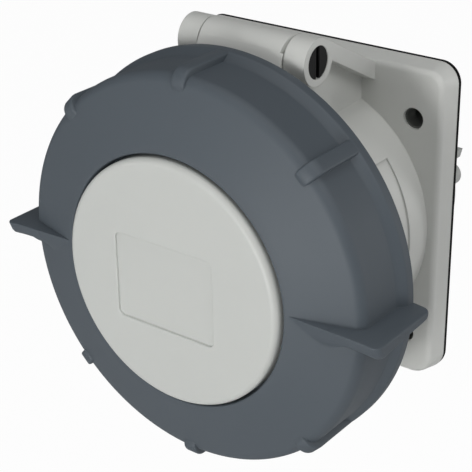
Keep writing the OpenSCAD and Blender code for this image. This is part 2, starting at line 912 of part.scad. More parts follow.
module lid_cap() {
  color(LIGHT_GREY)
    difference() {
      union() {
        difference() {
          turned(concat(
            [[0, cap_back_d], [cap_r, cap_back_d]],
            arc(cap_r - cap_edge_r, cap_front_d - cap_edge_r, cap_edge_r, 0, 90, 6),
            [[0, cap_front_d]]));
          rod(cap_r - cap_wall, cap_back_d - past, cap_front_d - cap_wall);
        }
        for (k = [0:2])
          around(90 + 120 * k)
            rod(cap_screw_r + 2, cap_back_d, cap_front_d - cap_wall / 2, cap_screw_circle, 0);
      }
      for (k = [0:2])
        around(90 + 120 * k)
          rod(cap_screw_r + pin_gap, cap_back_d - past, cap_front_d - cap_wall, cap_screw_circle, 0);
      along(cap_front_d - label_depth, cap_front_d + past)
        translate([label_x, label_z])
          round_square(label_w, label_h, label_corner_r);
    }
}

module cap_screws() {
  head_d = plate_front_d - 1.9;
  color(STEEL)
    for (k = [0:2])
      around(90 + 120 * k)
        translate([cap_screw_circle, 0, 0])
          difference() {
            turned([
              [0, head_d - cap_screw_head_t], [cap_screw_head_r - 0.6, head_d - cap_screw_head_t],
              [cap_screw_head_r, head_d - cap_screw_head_t + 0.6], [cap_screw_head_r, head_d],
              [cap_screw_r, head_d], [cap_screw_r, head_d + cap_screw_len - 1], [0, head_d + cap_screw_len]]);
            along(head_d - cap_screw_head_t - past, head_d - cap_screw_head_t + 1) {
              square([3.4, 0.9], center = true);
              square([0.9, 3.4], center = true);
            }
          }
}

// Locking ring with ribs, wings and bayonet lugs: one moulding

ring_in_r = ring_wall_r - ring_wall;
rim_len = 3.2;
flare_len = 2.7;

function ring_outside() = concat(
  [[ring_r - edge_break, ring_rear_d], [ring_r, ring_rear_d + edge_break],
   [ring_r, ring_rear_d + rim_len], [ring_wall_r + 0.5, ring_rear_d + rim_len + flare_len]],
  arc(shoulder_cx, shoulder_cd, shoulder_r, 0, 90 - face_slope, 6),
  [[ring_hole_r + 0.5, ring_face_d(ring_hole_r + 0.5)], [ring_hole_r, ring_hole_d - 0.6]]);

module ring_body() {
  turned(concat(
    ring_outside(),
    [[ring_hole_r, lip_front_d], [lip_r, lip_front_d], [lip_r, lip_back_d],
     [ring_hole_r + ring_wall, lip_back_d],
     [ring_hole_r + ring_wall + 2, ring_face_d(ring_hole_r + ring_wall + 2) - ring_wall],
     [shoulder_cx - 0.6, ring_face_d(shoulder_cx) - ring_wall],
     [ring_in_r, shoulder_cd],
     [ring_in_r, ring_rear_d]]));
}

rib_nose_r = 4.5;

// A rib runs straight along the ring's wall and wraps over its shoulder with a rounded nose
module grip_rib(angle) {
  top_r = ring_wall_r + rib_h;
  nose_r = top_r - rib_nose_r;
  nose_d = ring_face_d(nose_r) - rib_nose_r + 0.7;
  fade_r = nose_r - 2.4;
  around(angle)
    intersection() {
      turned_part(concat(
        [[ring_in_r + 1, ring_rear_d + 2], [top_r, ring_rear_d + 2]],
        arc(nose_r, nose_d, rib_nose_r, 0, 96, 8),
        [[fade_r, ring_face_d(fade_r)], [fade_r, ring_face_d(fade_r) - ring_wall / 2],
         [ring_in_r + 1, shoulder_cd - 1]]), -12, 12);
      translate([ring_r, -ring_hole_d + 10, 0])
        cube([ring_r, 2 * ring_hole_d, rib_w], center = true);
    }
}

// A wing's top and front edge both fall away slightly from the ring's hole to the tip
wing_slope = 2.7;
wing_lean = 20;
fairing_lean = 52;
wing_under_slope = 3.3;
wing_front_d = ring_hole_d - 0.4;
wing_tip_d = wing_front_d - (wing_reach - ring_hole_r) * tan(wing_slope);
wing_root_x = ring_in_r - 4.6;
wing_tab_x = ring_wall_r - 2;
wing_tip_r = 2.4;
wing_edge_r = 0.9;
wing_splay = 0.7;
wing_size = 2 * wing_reach;

function wing_z(x) = wing_top_z + (wing_reach - x) * tan(wing_slope);
function wing_d(x) = wing_tip_d + (wing_reach - x) * tan(wing_slope);

// Front view of a wing: a plate with a round lower edge at its tip
module wing_front() {
  tip_x = wing_reach + wing_splay;
  low_z = wing_top_z - wing_t;
  polygon(concat(
    [[wing_root_x, wing_z(wing_root_x)]],
    arc(tip_x - wing_edge_r, wing_z(tip_x) - wing_edge_r, wing_edge_r, 90, 0, 4),
    arc(tip_x - wing_tip_r, low_z + wing_tip_r, wing_tip_r, 0, -90, 5),
    [[ring_wall_r + 1.2, low_z - 0.6], [ring_wall_r, low_z - 1.2], [wing_root_x, low_z - 1.2]]));
}

// Plan of a wing, as [x, depth], with round outer corners
module wing_plan() {
  back_r = 4.2;
  front_r = 1.2;
  back_d = ring_rear_d + 0.1;
  back_x = wing_reach + wing_splay;
  polygon(concat(
    [[wing_root_x, back_d]],
    arc(back_x - back_r, back_d + back_r, back_r, -90, 0, 5),
    arc(wing_reach - front_r, wing_tip_d - front_r, front_r, 0, 90, 4),
    [[wing_root_x, wing_d(wing_root_x)]]));
}

// Everything in front of a face that leans back from a wing's front edge, a drop below its top
module before_lean(lean, drop = 0) {
  translate([wing_reach, -wing_tip_d, wing_top_z])
    rotate([0, wing_slope, wing_slope])
      translate([0, drop * tan(wing_lean), -drop])
        rotate([lean, 0, 0])
          translate([-wing_size, -wing_size, -wing_size])
            cube([2 * wing_size, wing_size, 2 * wing_size]);
}

// Fairing under the wing's front edge, running down into the ring's face and shoulder
module wing_fairing() {
  bevel_r = ring_wall_r - 2;
  bevel_d = shoulder_cd + 2.8;
  intersection() {
    turned_part([
      [ring_hole_r + 0.4, ring_face_d(ring_hole_r + 0.4) - ring_wall / 2],
      [shoulder_cx, ring_face_d(shoulder_cx) - ring_wall / 2], [bevel_r, bevel_d - 1], [bevel_r, bevel_d],
      [bevel_r - 2, bevel_d + 2.6], [bevel_r - 4, bevel_d + 5.4], [bevel_r - 8.4, bevel_d + 7.8],
      [ring_hole_r + 0.4, wing_front_d]], -28, 8);
    translate([wing_reach, 0, wing_top_z])
      rotate([0, wing_slope, 0])
        translate([-wing_size, -wing_size, -wing_size])
          cube(wing_size);
  }
}

module wing() {
  difference() {
    intersection() {
      along(ring_rear_d - past, ring_hole_d + past)
        wing_front();
      translate([0, 0, -4 * wing_t])
        linear_extrude(height = 5 * wing_t)
          mirror([0, 1])
            wing_plan();
    }
    turned([
      [0, 0], [ring_in_r + 1, 0], [ring_in_r + 1, shoulder_cd - 1],
      [wing_root_x - 1, ring_face_d(wing_root_x - 1) - ring_wall / 2], [0, ring_hole_d]]);
    before_lean(wing_lean);
    translate([wing_tab_x, -wing_tip_d, wing_top_z - wing_t])
      rotate([wing_under_slope, 0, 0])
        translate([0, 0, -wing_size])
          cube(wing_size);
  }
  difference() {
    wing_fairing();
    before_lean(wing_lean);
    before_lean(fairing_lean, wing_t);
  }
}

module lug(angle) {
  turned_part([
    [lug_inner_r, lug_back_d], [ring_in_r + 1, lug_back_d], [ring_in_r + 1, lug_front_d + 6],
    [ring_in_r - 1.5, lug_front_d + 6], [ring_in_r - 4, lug_front_d], [lug_inner_r, lug_front_d]],
    angle - lug_half_angle, angle + lug_half_angle);
}

module locking_ring() {
  color(BLUE_GREY)
    union() {
      ring_body();
      for (a = [45, 90, 135, 225, 270, 315])
        grip_rib(a);
      wing();
      mirror([1, 0, 0])
        wing();
      lug(0);
      lug(180);
    }
}

// Hinge pieces

module bush_slot(x) {
  translate([x, -hinge_d, hinge_z])
    cube([2 * bush_slot_depth, bush_slot_w, 2 * bush_dia], center = true);
}

module hinge_disc(r, x0, x1) {
  across(x0, x1)
    translate([hinge_d, hinge_z])
      circle(r = r);
}

module hinge_bush_right() {
  color(BLACK)
    difference() {
      hinge_disc(bush_r, knuckle_x - bush_nose, bush_end_x);
      hinge_disc(shaft_r + pin_gap, knuckle_x - bush_nose - past, shaft_end_x + 0.1);
      bush_slot(bush_end_x);
    }
}

module hinge_bush_left() {
  color(BLACK)
    difference() {
      hinge_disc(bush_r, -bush_end_x, -knuckle_x - run_gap);
      hinge_disc(shaft_r + pin_gap, -shaft_end_x - 0.1, -knuckle_x + past);
      bush_slot(-bush_end_x);
    }
}

module hinge_shaft() {
  color(STEEL)
    hinge_disc(shaft_r, -shaft_end_x, shaft_end_x);
}

// Closed-wound torsion spring round the shaft
spring_x0 = -knuckle_x + knuckle_wall + run_gap + wire_dia / 2;
spring_x1 = knuckle_x - bush_nose - run_gap - wire_dia / 2;

function wire_ring(i) =
  let (n = coil_turns * coil_steps, a = 360 * i / coil_steps, x = spring_x0 + (spring_x1 - spring_x0) * i / n)
  [for (k = [0:wire_sides - 1])
    let (b = 360 * k / wire_sides, r = coil_r + wire_dia / 2 * cos(b))
    [x + wire_dia / 2 * sin(b), -hinge_d + r * cos(a), hinge_z + r * sin(a)]];

module hinge_spring() {
  n = coil_turns * coil_steps;
  color(STEEL)
    polyhedron(
      points = [for (i = [0:n]) each wire_ring(i)],
      faces = concat(
        [[for (k = [0:wire_sides - 1]) k]],
        [for (i = [0:n - 1], k = [0:wire_sides - 1])
          [i * wire_sides + k, (i + 1) * wire_sides + k,
           (i + 1) * wire_sides + (k + 1) % wire_sides, i * wire_sides + (k + 1) % wire_sides]],
        [[for (k = [wire_sides - 1:-1:0]) n * wire_sides + k]]));
}

flange_housing();
panel_gasket();
contact_carrier();
carrier_seal();
rear_housing();
line_contact_1();
line_contact_2();
line_contact_3();
neutral_contact();
earth_contact();
pilot_contact();
contact_springs();
line_terminal_1();
line_terminal_2();
line_terminal_3();
neutral_terminal();
earth_terminal();
pilot_terminal();
terminal_screws();
housing_screws();
lid();
lid_seal();
lid_cap();
cap_screws();
locking_ring();
hinge_bush_left();
hinge_bush_right();
hinge_shaft();
hinge_spring();
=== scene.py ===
"""Looks of a round panel socket: flange and collar, hinged lid with its disc, winged locking ring."""

import json
import logging
import math
from dataclasses import dataclass
from enum import Enum

import bmesh
import bpy
from mathutils import Matrix, Vector


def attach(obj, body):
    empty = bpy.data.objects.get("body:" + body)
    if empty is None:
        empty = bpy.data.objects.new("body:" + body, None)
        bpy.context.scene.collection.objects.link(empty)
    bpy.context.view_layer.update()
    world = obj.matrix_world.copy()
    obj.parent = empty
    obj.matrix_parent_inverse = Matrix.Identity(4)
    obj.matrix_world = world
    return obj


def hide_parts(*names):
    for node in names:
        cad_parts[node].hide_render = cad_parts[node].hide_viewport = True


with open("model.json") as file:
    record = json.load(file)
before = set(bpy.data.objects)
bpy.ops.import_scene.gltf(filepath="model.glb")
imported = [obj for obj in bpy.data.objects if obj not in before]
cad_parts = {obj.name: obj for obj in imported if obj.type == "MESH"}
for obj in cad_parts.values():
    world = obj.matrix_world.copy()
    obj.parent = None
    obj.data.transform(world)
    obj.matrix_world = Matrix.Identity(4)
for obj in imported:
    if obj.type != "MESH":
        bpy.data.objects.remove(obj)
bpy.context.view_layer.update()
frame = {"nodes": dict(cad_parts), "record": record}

LOG = logging.getLogger("panel_socket")
MM = 0.001
IMAGE_SIDE = 472
OBJECT_MIDDLE = (0.0, -0.045, 0.0)


class Slot(Enum):
    """Material slots of the record."""

    SHELL = "grey_shell"
    CAP = "grey_cap"
    REAR = "grey_rear"
    RING = "blue_grey_ring"
    RUBBER = "black_rubber"
    INSULATOR = "dark_insulator"
    BUSH = "black_bush"
    BRASS = "brass"
    STEEL = "steel"


class Body(Enum):
    """Bodies that pieces ride on."""

    SOCKET = "socket_body"
    LID = "lid_body"
    RING = "ring_body"


def linear(colour: tuple[int, int, int]) -> tuple[float, float, float, float]:
    """Turns a colour as seen on a screen into the linear values that a shader takes.

    Args:
        colour: Red, green and blue from 0 to 255.

    Returns:
        Linear red, green, blue and an alpha of 1.
    """
    parts = [c / 255 for c in colour]
    return tuple(p / 12.92 if p <= 0.04045 else ((p + 0.055) / 1.055) ** 2.4 for p in parts) + (1.0,)


def moulded_skin_group() -> bpy.types.ShaderNodeTree:
    """Builds the shared effect of moulded plastic: a fine grain, soft sheen patches and a slight tone drift.

    Returns:
        The node group, with outputs for colour, roughness and bump height.
    """
    name = "moulded_skin"
    if name in bpy.data.node_groups:
        return bpy.data.node_groups[name]
    group = bpy.data.node_groups.new(name, "ShaderNodeTree")
    face = group.interface
    for label, kind, value in (
        ("Colour", "NodeSocketColor", (0.5, 0.5, 0.5, 1.0)),
        ("Roughness", "NodeSocketFloat", 0.4),
        ("Grain Size", "NodeSocketFloat", 0.0004),
        ("Tone Drift", "NodeSocketFloat", 0.03),
        ("Sheen Drift", "NodeSocketFloat", 0.05),
    ):
        face.new_socket(label, in_out="INPUT", socket_type=kind).default_value = value
    face.new_socket("Colour", in_out="OUTPUT", socket_type="NodeSocketColor")
    face.new_socket("Roughness", in_out="OUTPUT", socket_type="NodeSocketFloat")
    face.new_socket("Height", in_out="OUTPUT", socket_type="NodeSocketFloat")
    nodes, links = group.nodes, group.links
    enter = nodes.new("NodeGroupInput")
    leave = nodes.new("NodeGroupOutput")
    coords = nodes.new("ShaderNodeTexCoord")

    # Fine grain, which only the bump takes.
    invert = nodes.new("ShaderNodeMath")
    invert.operation = "DIVIDE"
    invert.inputs[0].default_value = 1.0
    links.new(enter.outputs["Grain Size"], invert.inputs[1])
    grain = nodes.new("ShaderNodeTexNoise")
    grain.inputs["Detail"].default_value = 3.0
    grain.inputs["Roughness"].default_value = 0.6
    links.new(coords.outputs["Object"], grain.inputs["Vector"])
    links.new(invert.outputs[0], grain.inputs["Scale"])

    # Wide soft patches, which the tone and the sheen share.
    patches = nodes.new("ShaderNodeTexNoise")
    patches.inputs["Scale"].default_value = 38.0
    patches.inputs["Detail"].default_value = 4.0
    links.new(coords.outputs["Object"], patches.inputs["Vector"])

    tone = nodes.new("ShaderNodeMath")
    tone.operation = "MULTIPLY_ADD"
    links.new(patches.outputs["Fac"], tone.inputs[0])
    links.new(enter.outputs["Tone Drift"], tone.inputs[1])
    tone.inputs[2].default_value = 1.0
    centred = nodes.new("ShaderNodeMath")
    centred.operation = "MULTIPLY_ADD"
    links.new(enter.outputs["Tone Drift"], centred.inputs[0])
    centred.inputs[1].default_value = -0.5
    links.new(tone.outputs[0], centred.inputs[2])
    scaled = nodes.new("ShaderNodeVectorMath")
    scaled.operation = "SCALE"
    links.new(enter.outputs["Colour"], scaled.inputs[0])
    links.new(centred.outputs[0], scaled.inputs["Scale"])
    links.new(scaled.outputs[0], leave.inputs["Colour"])

    sheen = nodes.new("ShaderNodeMath")
    sheen.operation = "SUBTRACT"
    links.new(patches.outputs["Fac"], sheen.inputs[0])
    sheen.inputs[1].default_value = 0.5
    rough = nodes.new("ShaderNodeMath")
    rough.operation = "MULTIPLY_ADD"
    rough.use_clamp = True
    links.new(sheen.outputs[0], rough.inputs[0])
    links.new(enter.outputs["Sheen Drift"], rough.inputs[1])
    links.new(enter.outputs["Roughness"], rough.inputs[2])
    links.new(rough.outputs[0], leave.inputs["Roughness"])
    links.new(grain.outputs["Fac"], leave.inputs["Height"])
    return group


@dataclass(frozen=True)
class Finish:
    """A surface finish, built as one Principled material. The grain's size and height are in metres."""

    name: str
    colour: tuple[int, int, int]
    roughness: float
    grain_size: float
    grain_height: float
    tone_drift: float = 0.03
    sheen_drift: float = 0.06
    metallic: float = 0.0
    specular: float = 0.5
    coat: float = 0.0
    edge_mm: float = 0.5

    def material(self) -> bpy.types.Material:
        """Makes the material, or returns it if it is made already.

        Returns:
            The Principled material with the moulded skin on its colour, roughness and normal.
        """
        if self.name in bpy.data.materials:
            return bpy.data.materials[self.name]
        made = bpy.data.materials.new(self.name)
        made.use_nodes = True
        nodes, links = made.node_tree.nodes, made.node_tree.links
        nodes.clear()
        out = nodes.new("ShaderNodeOutputMaterial")
        shader = nodes.new("ShaderNodeBsdfPrincipled")
        shader.inputs["Metallic"].default_value = self.metallic
        shader.inputs["Specular IOR Level"].default_value = self.specular
        shader.inputs["Coat Weight"].default_value = self.coat
        skin = nodes.new("ShaderNodeGroup")
        skin.node_tree = moulded_skin_group()
        skin.inputs["Colour"].default_value = linear(self.colour)
        skin.inputs["Roughness"].default_value = self.roughness
        skin.inputs["Grain Size"].default_value = self.grain_size
        skin.inputs["Tone Drift"].default_value = self.tone_drift
        skin.inputs["Sheen Drift"].default_value = self.sheen_drift
        bump = nodes.new("ShaderNodeBump")
        bump.inputs["Strength"].default_value = 0.6
        bump.inputs["Distance"].default_value = self.grain_height
        eased = nodes.new("ShaderNodeBevel")
        eased.samples = 6
        eased.inputs["Radius"].default_value = self.edge_mm * MM
        links.new(eased.outputs["Normal"], bump.inputs["Normal"])
        links.new(skin.outputs["Colour"], shader.inputs["Base Color"])
        links.new(skin.outputs["Roughness"], shader.inputs["Roughness"])
        links.new(skin.outputs["Height"], bump.inputs["Height"])
        links.new(bump.outputs["Normal"], shader.inputs["Normal"])
        links.new(shader.outputs["BSDF"], out.inputs["Surface"])
        return made


FINISHES = {
    Slot.SHELL: Finish("light_grey_moulding", (210, 211, 207), 0.42, 0.00035, 0.00001),
    Slot.CAP: Finish("light_grey_disc", (201, 203, 199), 0.40, 0.00035, 0.00001, edge_mm=0.1),
    Slot.REAR: Finish("grey_rear_moulding", (186, 188, 185), 0.48, 0.0005, 0.000015),
    Slot.RING: Finish(
        "blue_grey_moulding", (78, 86, 93), 0.56, 0.0004, 0.000015, tone_drift=0.05, sheen_drift=0.08, edge_mm=0.2),
    Slot.RUBBER: Finish(
        "black_rubber_skin", (6, 6, 7), 0.8, 0.0006, 0.00003, tone_drift=0.1, sheen_drift=0.1, specular=0.12),
    Slot.INSULATOR: Finish("near_black_insulator", (44, 46, 48), 0.5, 0.0005, 0.00002, tone_drift=0.06),
    Slot.BUSH: Finish("black_bush_plastic", (12, 12, 14), 0.45, 0.0004, 0.00001, tone_drift=0.06, specular=0.2),
    Slot.BRASS: Finish(
        "turned_brass", (196, 160, 96), 0.28, 0.0003, 0.00001, tone_drift=0.05, sheen_drift=0.12, metallic=1.0),
    Slot.STEEL: Finish(
        "bright_plated_steel", (196, 198, 200), 0.3, 0.0003, 0.00001, tone_drift=0.04, sheen_drift=0.12,
        metallic=1.0),
}
# Painted shade: a mid grey for the cups that darken the flange's fixing holes.
HOLE_SHADE_FINISH = Finish("painted_hole_shade_grey", (104, 106, 102), 0.7, 0.0006, 0.00002, tone_drift=0.06)


def dress_nodes() -> None:
    """Gives every node of the frame the finish of its slot in the record."""
    slots = {part["node"]: part["material_slot"] for part in frame["record"]["subparts"]}
    for name, node in frame["nodes"].items():
        made = FINISHES[Slot(slots[name])].material()
        node.data.materials.clear()
        node.data.materials.append(made)
        LOG.info("dressed %s as %s", name, made.name)


def axial_point(radius: float, depth: float, angle: float) -> Vector:
    """Finds a point by its distance from the socket's axis, its depth in front of the panel and its angle.

    Args:
        radius: Distance from the axis, in millimetres.
        depth: Distance in front of the panel, in millimetres.
        angle: Angle round the axis from the right-hand side upwards, in radians.

    Returns:
        The point in the frame's axes, in metres.
    """
    return Vector((radius * math.cos(angle), -depth, radius * math.sin(angle))) * MM


def arc_points(
    centre: tuple[float, float], radius: float, start: float, end: float, steps: int
) -> list[tuple[float, float]]:
    """Lists points of an arc in a plane.

    Args:
        centre: The arc's centre.
        radius: The arc's radius.
        start: First angle, in degrees.
        end: Last angle, in degrees.
        steps: Number of chords.

    Returns:
        The points, first and last included.
    """
    angles = (math.radians(start + (end - start) * k / steps) for k in range(steps + 1))
    return [(centre[0] + radius * math.cos(a), centre[1] + radius * math.sin(a)) for a in angles]


def outline_edges(sheet: bmesh.types.BMesh, section: list[Vector]) -> list[bmesh.types.BMEdge]:
    """Adds one closed outline.

    Args:
        sheet: The mesh that it is added to.
        section: Its points, in metres.

    Returns:
        The outline's edges.
    """
    row = [sheet.verts.new(point) for point in section]
    return [sheet.edges.new((row[k - 1], row[k])) for k in range(len(row))]


def loft(sheet: bmesh.types.BMesh, sections: list[list[Vector]]) -> None:
    """Adds a closed shell that bridges a row of closed sections.

    Args:
        sheet: The mesh that the shell is added to.
        sections: The sections, each a list of points in metres.
    """
    loops = [outline_edges(sheet, section) for section in sections]
    made = []
    for near, far in zip(loops, loops[1:]):
        made += bmesh.ops.bridge_loops(sheet, edges=near + far)["faces"]
    for end in (loops[0], loops[-1]):
        made += bmesh.ops.contextual_create(sheet, geom=end)["faces"]
    bmesh.ops.recalc_face_normals(sheet, faces=made)


def turned(
    sheet: bmesh.types.BMesh, profile: list[tuple[float, float]], steps: int, middle: tuple[float, float] = (0.0, 0.0)
) -> None:
    """Adds a closed profile turned all the way round an axis that runs out of the panel.

    Args:
        sheet: The mesh that it is added to.
        profile: The profile's points, as radius and depth in millimetres.
        steps: Number of steps round the axis.
        middle: Where the axis crosses the panel, as x and z in millimetres.
    """
    centre = Vector((middle[0], 0, middle[1])) * MM
    edges = outline_edges(sheet, [centre + axial_point(r, d, 0.0) for r, d in profile])
    corners = [edge.verts[0] for edge in edges]
    before = set(sheet.faces)
    bmesh.ops.spin(
        sheet, geom=corners + edges, cent=centre, axis=(0, 1, 0), angle=math.tau, steps=steps, use_merge=True,
        use_duplicate=False)
    bmesh.ops.recalc_face_normals(sheet, faces=[face for face in sheet.faces if face not in before])


def put_in_order(sheet: bmesh.types.BMesh) -> None:
    """Sorts a mesh's edges and faces by their corners, because the spin operator leaves their order to chance.

    Args:
        sheet: The mesh that is sorted.
    """
    sheet.verts.index_update()
    for parts in (sheet.edges, sheet.faces):
        ranked = sorted(parts, key=lambda part: sorted(corner.index for corner in part.verts))
        ranks = {part: rank for rank, part in enumerate(ranked)}
        parts.sort(key=ranks.get)


def finished_piece(
    name: str, sheet: bmesh.types.BMesh, slot: Slot, body: Body, nodes: tuple[str, ...], sharp: float = 38.0,
    finish: Finish | None = None,
) -> bpy.types.Object:
    """Turns a finished mesh into a piece that rides on a body in place of its plain nodes.

    Args:
        name: The piece's name.
        sheet: Its mesh, which is freed.
        slot: The material slot it takes its finish from.
        body: The body it rides on.
        nodes: The frame's nodes that it stands for.
        sharp: Angle between faces, in degrees, from which an edge stays sharp.
        finish: Its own finish, where it isn't the slot's usual one.

    Returns:
        The new object, at the origin and untransformed.
    """
    put_in_order(sheet)
    mesh = bpy.data.meshes.new(name)
    sheet.to_mesh(mesh)
    sheet.free()
    mesh.shade_smooth()
    mesh.set_sharp_from_angle(angle=math.radians(sharp))
    mesh.materials.append((finish or FINISHES[slot]).material())
    made = bpy.data.objects.new(name, mesh)
    bpy.context.scene.collection.objects.link(made)
    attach(made, body.value)
    if nodes:
        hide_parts(*nodes)
    LOG.info("made %s with %d faces", name, len(mesh.polygons))
    return made


@dataclass
class TurningRing:
    """The locking ring: a thin shell with a soft shoulder, six grip ribs, two wings and two inner lugs.

    Lengths are in millimetres. Points of a profile are pairs of radius and depth.
    """

    # Shell.
    hole_r: float = 41.4
    hole_d: float = 84.0
    lip_d: float = 78.1
    lip_r: float = 0.6
    lip_drop: float = 0.8
    drop: float = math.tan(math.radians(17.5))
    face_radii: tuple[float, ...] = (45.0, 50.0, 55.0, 59.0)
    wall_r: float = 64.6
    wall_top_d: float = 68.0
    rim_r: float = 66.8
    rim_edge_r: float = 0.6
    rear_d: float = 53.0
    wall: float = 2.8
    shoulder_r: float = 4.2
    turn_steps: int = 240
    # The step from the wall out to the rim, as distances from the wall and above the rear edge.
    rim_step: tuple[tuple[float, float], ...] = (
        (0.0, 7.0), (0.1, 6.4), (0.4, 5.85), (0.9, 5.2), (1.5, 4.45), (1.95, 3.9), (2.15, 3.55), (2.2, 3.1))
    inner_top_d: float = 74.1
    inside: tuple[tuple[float, float], ...] = (
        (60.5, 74.9), (46.2, 79.6), (44.2, 79.6), (44.2, 75.8), (36.5, 75.8), (36.5, 78.1))

    # Grip ribs.
    rib_angles: tuple[int, ...] = (45, 90, 135, 225, 270, 315)
    rib_top_r: float = 66.75
    rib_width: float = 5.0
    rib_nose_r: float = 5.0
    rib_rise: float = 0.8
    rib_heights: tuple[float, ...] = (2.4, 5.0, 9.0, 14.0, 18.0)
    # Where a rib fades into the face, as distances inwards from the nose and above the face.
    rib_tail: tuple[tuple[float, float], ...] = ((0.6, 0.5), (1.1, 0.2), (1.7, -0.15), (2.2, -0.6))
    # A rib's rounded long edge, as distances from its side and above its top.
    rib_edge: tuple[tuple[float, float], ...] = ((0.0, -3.0), (0.0, -0.7), (0.1, -0.36), (0.32, -0.1), (0.7, 0.0))
    rib_taper: float = 0.22
    rib_taper_points: int = 6

    # Wings.
    wing_stations: tuple[float, ...] = (
        57.5, 60, 62.5, 65, 67, 68.5, 69.4, 70.2, 70.8, 71.3, 71.7, 72.1, 72.4, 72.62, 72.77, 72.84, 72.87)
    wing_reach: float = 72.2
    wing_tip: float = 72.88
    wing_top_z: float = 1.0
    wing_t: float = 4.8
    wing_back_t: float = 1.7
    wing_back_taper: float = 0.12
    wing_fall: float = math.tan(math.radians(2.7))
    wing_dip_x: float = 66.0
    wing_dip: float = 0.06
    wing_front_drop: float = 0.4
    wing_front_fall: float = 0.032
    lean: float = math.tan(math.radians(20))
    tip_top_r: float = 0.45
    tip_low_r: float = 1.6
    tip_back_r: float = 2.8
    tip_front_r: float = 2.4

    # The fairing under a wing's front edge.
    fairing_end: float = 62.9
    fairing_steps: int = 18
    fairing_drop: float = 0.03
    fairing_straight: float = 4.6
    fade: float = 9.5
    fade_x: float = 53.0
    fade_loss: float = 0.53
    fade_steps: int = 14

    # Inner lugs.
    lug_half_angle: float = math.radians(6.5)
    lug_profile: tuple[tuple[float, float], ...] = (
        (57.9, 53.5), (62.4, 53.5), (62.4, 62.9), (60.3, 62.9), (57.9, 56.9))

    def face_d(self, radius: float) -> float:
        """Gives the depth of the sloping face's cone at a radius, in millimetres."""
        return self.hole_d - (radius - self.hole_r) * self.drop

    def shoulder_centre(self) -> tuple[float, float]:
        """Gives the centre of the shoulder's arc, as radius and depth."""
        radius = self.wall_r - self.shoulder_r
        return radius, self.face_d(radius) - self.shoulder_r * math.hypot(1, self.drop)

    def outer_d(self, radius: float) -> float:
        """Gives the depth of the ring's front surface, over the face and the shoulder.

        Args:
            radius: Distance from the axis, in millimetres.

        Returns:
            The depth in front of the panel, in millimetres.
        """
        centre_r, centre_d = self.shoulder_centre()
        tangent_r = centre_r + self.shoulder_r * math.sin(math.atan(self.drop))
        if radius <= tangent_r:
            return self.face_d(radius)
        across = min(radius - centre_r, self.shoulder_r)
        return centre_d + math.sqrt(self.shoulder_r ** 2 - across ** 2)

    def outline(self) -> list[tuple[float, float]]:
        """Lists the closed profile of the shell.

        Returns:
            The profile's points, as radius and depth in millimetres.
        """
        slope = math.degrees(math.atan(self.drop))
        inner_r = self.wall_r - self.wall
        lip_centre = (self.hole_r + self.lip_r, self.hole_d - self.lip_drop)
        rim_centre = (self.rim_r - self.rim_edge_r, self.rear_d + self.rim_edge_r)
        return (
            [(self.hole_r, self.lip_d)]
            + arc_points(lip_centre, self.lip_r, 180, 90 - slope, 5)
            + [(r, self.face_d(r)) for r in self.face_radii]
            + arc_points(self.shoulder_centre(), self.shoulder_r, 90 - slope, 0, 10)
            + [(self.wall_r, self.wall_top_d)]
            + [(self.wall_r + out, self.rear_d + up) for out, up in self.rim_step]
            + arc_points(rim_centre, self.rim_edge_r, 0, -90, 4)
            + [(inner_r, self.rear_d), (inner_r, self.inner_top_d)]
            + list(self.inside)
        )

    def rib(self, sheet: bmesh.types.BMesh, angle: float) -> None:
        """Adds one grip rib, which runs out of the rim, over the shoulder and fades into the face.

        Args:
            sheet: The mesh that the rib is added to.
            angle: Where it stands round the ring, in radians.
        """
        nose_r = self.rib_top_r - self.rib_nose_r
        nose_d = self.face_d(nose_r) + self.rib_rise - self.rib_nose_r
        path = [(self.rib_top_r, self.rear_d + height) for height in self.rib_heights]
        path += arc_points((nose_r, nose_d), self.rib_nose_r, 0, 92, 14)
        path += [(nose_r - inward, self.face_d(nose_r - inward) + rise) for inward, rise in self.rib_tail]
        taper_start = len(path) - 1 - self.rib_taper_points
        out = Vector((math.cos(angle), 0, math.sin(angle)))
        along = Vector((-math.sin(angle), 0, math.cos(angle)))
        front = Vector((0, -1, 0))
        sections = []
        for k, (r, d) in enumerate(path):
            before, after = path[max(k - 1, 0)], path[min(k + 1, len(path) - 1)]
            run = Vector((after[0] - before[0], after[1] - before[1])).normalized()
            lift = out * run.y + front * -run.x
            late = max(0, k - taper_start) / self.rib_taper_points
            half = self.rib_width / 2 * (1 - self.rib_taper * late * late)
            top = out * r + front * d
            side = [(-half + inset, height) for inset, height in self.rib_edge]
            section = side + [(-t, h) for t, h in reversed(side)]
            sections.append([(top + along * t + lift * h) * MM for t, h in section])
        loft(sheet, sections)

    def wing_z(self, x: float) -> float:
        """Gives the height of a wing's top at a distance from the axis."""
        dip = max(0.0, x - self.wing_dip_x) * self.wing_dip
        return self.wing_top_z + (self.wing_reach - x) * self.wing_fall - dip

    def wing_d(self, x: float) -> float:
        """Gives the depth of a wing's front edge at a distance from the axis."""
        return self.hole_d - self.wing_front_drop - (x - self.hole_r) * self.wing_front_fall

    def rounding(self, x: float, radius: float) -> float:
        """Gives how far a wing's edge has drawn in at a distance from the axis, where its corner has a radius."""
        inward = max(0.0, x - (self.wing_tip - radius))
        return radius - math.sqrt(max(0.0, radius ** 2 - inward ** 2))

    def plate(self, sheet: bmesh.types.BMesh, side: int) -> None:
        """Adds a wing's plate, with a leaning front face and round outer corners.

        Args:
            sheet: The mesh that the plate is added to.
            side: 1 for the right wing, -1 for the left one.
        """
        sections = []
        for x in self.wing_stations:
            top = self.wing_z(x) - self.rounding(x, self.tip_top_r)
            low = self.wing_z(x) - self.wing_t + self.rounding(x, self.tip_low_r)
            low_back = top - self.wing_back_t - (self.wing_tip - x) * self.wing_back_taper
            back = self.rear_d + 0.1 + self.rounding(x, self.tip_back_r)
            fore = self.wing_d(x) - self.rounding(x, self.tip_front_r)
            fore_low = fore - (top - low) * self.lean
            edge = min(1.5, (top - low) * 0.45)
